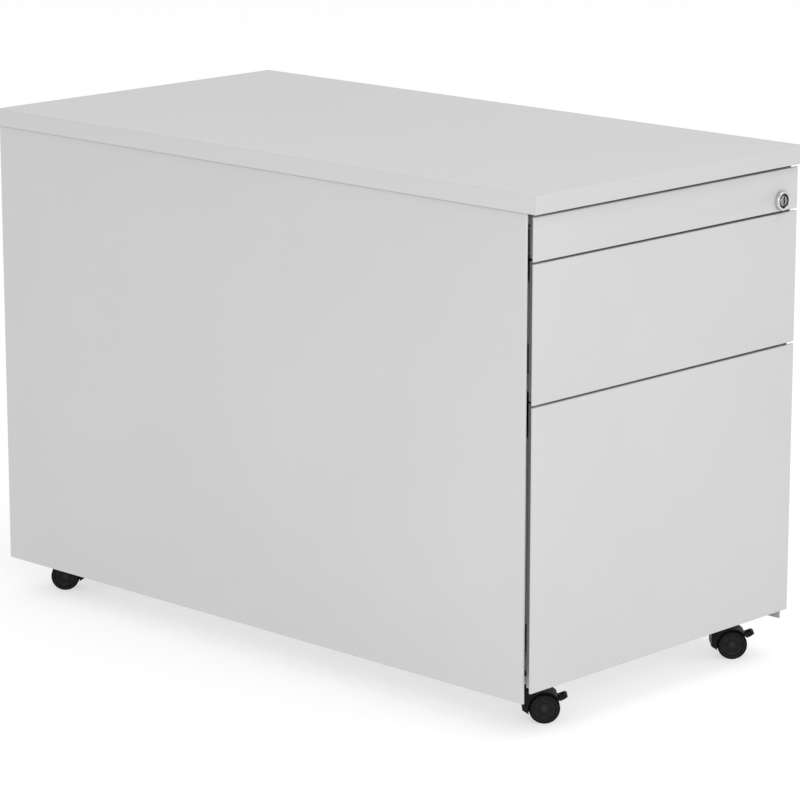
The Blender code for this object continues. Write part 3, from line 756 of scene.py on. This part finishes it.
def make_wheel(name, letter, side, look):
    """One wheel with its separate tread. Six low ribs stiffen the dished face."""
    ribs, half_rib, rib_top = 6, 0.0006, WHEEL_OUTER - 0.0012
    matrix = caster_matrix(name)
    center = in_caster(name, f"{name}_wheel_{letter}_spin")
    hub, tread = wheel_meshes(center, side)
    for number in range(ribs):
        turn = Matrix.Rotation(math.tau * number / ribs, 4, "Z")
        rib = block((0.0058, -half_rib, WHEEL_OUTER - 0.0024), (WHEEL_RADIUS - 0.0050, half_rib, rib_top))
        bevelled(rib, 0.0003, 2, lambda edge: all(vert.co.z > rib_top - 0.0001 for vert in edge.verts))
        rib.transform(facing(center, (0, side, 0)) @ turn)
        scratch = bpy.data.meshes.new("rib")
        rib.to_mesh(scratch)
        rib.free()
        hub.from_mesh(scratch)
        bpy.data.meshes.remove(scratch)
    body = f"{name}_wheel_{letter}"
    node = f"{name}_caster_wheel_{letter}"
    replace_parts(piece(f"{node}_hub", hub, look["hub"], body, 35, matrix), node)
    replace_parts(piece(f"{node}_tread", tread, look["tread"], body, 40, matrix), node)


def make_pedal(name, look):
    """The forked brake lever, with three grip ridges on its toe plate."""
    matrix = caster_matrix(name)
    pin = in_caster(name, f"{name}_pedal_press")
    outline = arc((0, 0), 0.0024, 130, 300, 14)
    outline += [(0.0044, -0.0004), (0.0068, 0.0014), (0.0072, 0.0023), (0.0070, 0.0032), (0.0048, 0.0040)]
    fork = WEB / 2 + 0.0003
    steps = [("UNION", prism(circle((0.0016 + 0.0014 * number, 0.0030 + 0.0005 * number), 0.0005, 10), 1,
                             0.001 - PEDAL_HALF_WIDTH, PEDAL_HALF_WIDTH - 0.001)) for number in range(3)]
    steps += [("DIFFERENCE", prism(circle((0, 0), 0.0014, 24), 1, -0.010, 0.010)),
              ("DIFFERENCE", block((-0.004, -fork, -0.004), (0.0034, fork, 0.008)))]
    lever = carved(prism(outline, 1, -PEDAL_HALF_WIDTH, PEDAL_HALF_WIDTH), steps)
    place = matrix @ Matrix.Translation(pin)
    made = piece(f"{name}_pedal", lever, look["nylon"], f"{name}_pedal", 40, place)
    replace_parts(edged(made, 0.00025, 2), f"{name}_caster_brake")
    half = 0.0063
    rod = lathe([(0.0, -half), (PEDAL_PIN_RADIUS, -half), (PEDAL_PIN_RADIUS, half), (0.0, half)], 24,
                facing(pin, (0, 1, 0)))
    piece(f"{name}_pedal_pin", rod, look["black_steel"], f"{name}_swivel", 40, matrix)


def make_caster(name, look):
    """One twin-wheel caster: plate, bearing, hood, axle, two wheels, and a brake on the front ones."""
    matrix = caster_matrix(name)
    braked = f"{name}_pedal_press" in JOINTS
    axle = in_caster(name, f"{name}_wheel_a_spin")
    pin = in_caster(name, f"{name}_pedal_press") if braked else None
    hood = hood_mesh((axle.x, axle.z), (pin.x, pin.z) if braked else None)
    made = piece(f"{name}_hood", hood, look["nylon"], f"{name}_swivel", 38, matrix)
    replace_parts(edged(made, 0.0004), f"{name}_caster_hood")
    half = 0.0116
    pin_profile = [(0.0, -half - 0.0003), (0.0022, -half - 0.0003), (AXLE_RADIUS, -half), (AXLE_RADIUS, half),
                   (0.0022, half + 0.0003), (0.0, half + 0.0003)]
    rod = lathe(pin_profile, 32, facing(axle, (0, 1, 0)))
    piece(f"{name}_axle", rod, look["black_steel"], f"{name}_swivel", 40, matrix)
    make_wheel(name, "a", 1, look)
    make_wheel(name, "b", -1, look)
    if braked:
        make_pedal(name, look)

    low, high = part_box(f"{name}_caster_plate")
    middle = (low + high) / 2
    plate_bottom = high.z - 0.0025
    plate = block((low.x, low.y, plate_bottom), high)
    bevelled(plate, 0.004, 5, lambda edge: abs(edge.verts[0].co.z - edge.verts[1].co.z) > 0.001)
    bearing = [(0.0, low.z), (0.0098, low.z), (0.0104, low.z + 0.0004), (0.0115, low.z + 0.0016),
               (0.0115, plate_bottom + 0.0002), (0.0, plate_bottom + 0.0002)]
    lathe(bearing, 48, Matrix.Translation((middle.x, middle.y, 0)), plate)
    made = piece(f"{name}_plate", plate, look["zinc"], "cabinet", 30)
    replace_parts(made, f"{name}_caster_plate")
    heads = bmesh.new()
    for x in (-0.0142, 0.0142):
        for y in (-0.0142, 0.0142):
            pan_head((middle.x + x, middle.y + y, plate_bottom), (0, 0, -1), 0.0029, 0.0016, heads)
    piece(f"{name}_plate_screws", heads, look["zinc"], "cabinet")


# ---------------------------------------------------------------- stage, light and camera
def make_stage():
    """A plain white light table under soft, even studio light."""
    bm = bmesh.new()
    reach = 40.0
    bm.faces.new([bm.verts.new((x, y, 0.0)) for x, y in ((-reach, -reach), (reach, -reach), (reach, reach),
                                                         (-reach, reach))])
    mesh = bpy.data.meshes.new("studio_floor")
    bm.to_mesh(mesh)
    bm.free()
    look = Finish("studio_floor", (0.50, 0.50, 0.50), 0.9, specular=0.0)
    look.shader.inputs["Emission Color"].default_value = (1.0, 1.0, 1.0, 1.0)
    look.shader.inputs["Emission Strength"].default_value = TABLE_GLOW
    look.vary_color(look.noise(0.5, 2.0), 0.995, 1.005)
    mesh.materials.append(look.material)
    floor = bpy.data.objects.new("studio_floor", mesh)
    bpy.context.scene.collection.objects.link(floor)

    world = bpy.data.worlds.new("studio")
    world.use_nodes = True
    background = world.node_tree.nodes["Background"]
    background.inputs["Color"].default_value = (1.0, 1.0, 1.0, 1.0)
    background.inputs["Strength"].default_value = SKY_STRENGTH
    bpy.context.scene.world = world


def area_light(name, place, target, size, power):
    """A square soft light aimed at a point."""
    data = bpy.data.lights.new(name, "AREA")
    data.shape = "SQUARE"
    data.size = size
    data.energy = power
    lamp = bpy.data.objects.new(name, data)
    lamp.location = place
    lamp.rotation_euler = (Vector(target) - Vector(place)).to_track_quat("-Z", "Y").to_euler()
    bpy.context.scene.collection.objects.link(lamp)


def make_lights():
    """A large key over the viewer's shoulder, and one overhead for the worktop."""
    middle = (CAD_BOX[0] + CAD_BOX[1]) / 2
    area_light("key", KEY_PLACE, middle, KEY_SIZE, KEY_POWER)
    area_light("overhead", OVERHEAD_PLACE, middle, OVERHEAD_SIZE, OVERHEAD_POWER)


def make_camera():
    """A long lens that looks a little down on the front left corner."""
    data = bpy.data.cameras.new("camera")
    data.lens = CAMERA_LENS
    data.sensor_width = 36.0
    data.clip_start = 0.05
    data.clip_end = 100.0
    camera = bpy.data.objects.new("camera", data)
    camera.location = CAMERA_PLACE
    camera.rotation_euler = (math.pi / 2 - CAMERA_PITCH, 0.0, -CAMERA_YAW)
    bpy.context.scene.collection.objects.link(camera)
    bpy.context.scene.camera = camera


# ---------------------------------------------------------------- the whole scene
def main():
    """Finish the CAD's own sheet metal, add the detailed pieces, then the stage, light and camera."""
    look = {
        "paint": powder_coat(),
        "laminate": laminate(),
        "edging": edge_band(),
        "zinc": zinc(),
        "chrome": chrome(),
        "lock_steel": lock_steel(),
        "black_steel": black_steel(),
        "nylon": moulded("caster_nylon", (0.005, 0.005, 0.0053), 0.50, 0.12),
        "hub": moulded("wheel_hub_nylon", (0.009, 0.009, 0.0093), 0.46, 0.16),
        "tread": rubber(),
        "tray": moulded("pen_tray_plastic", (0.030, 0.031, 0.033), 0.45),
    }
    finish_sheet_metal(look)
    make_worktop(look)
    make_body_fasteners(look)
    make_slide_screws(look)
    make_bar_guides(look)
    make_ball_cages(look)
    make_pen_tray(look)
    make_lock(look)
    for name in CASTERS:
        make_caster(name, look)
    make_stage()
    make_lights()
    make_camera()
    bpy.context.scene.view_settings.view_transform = "Standard"


main()
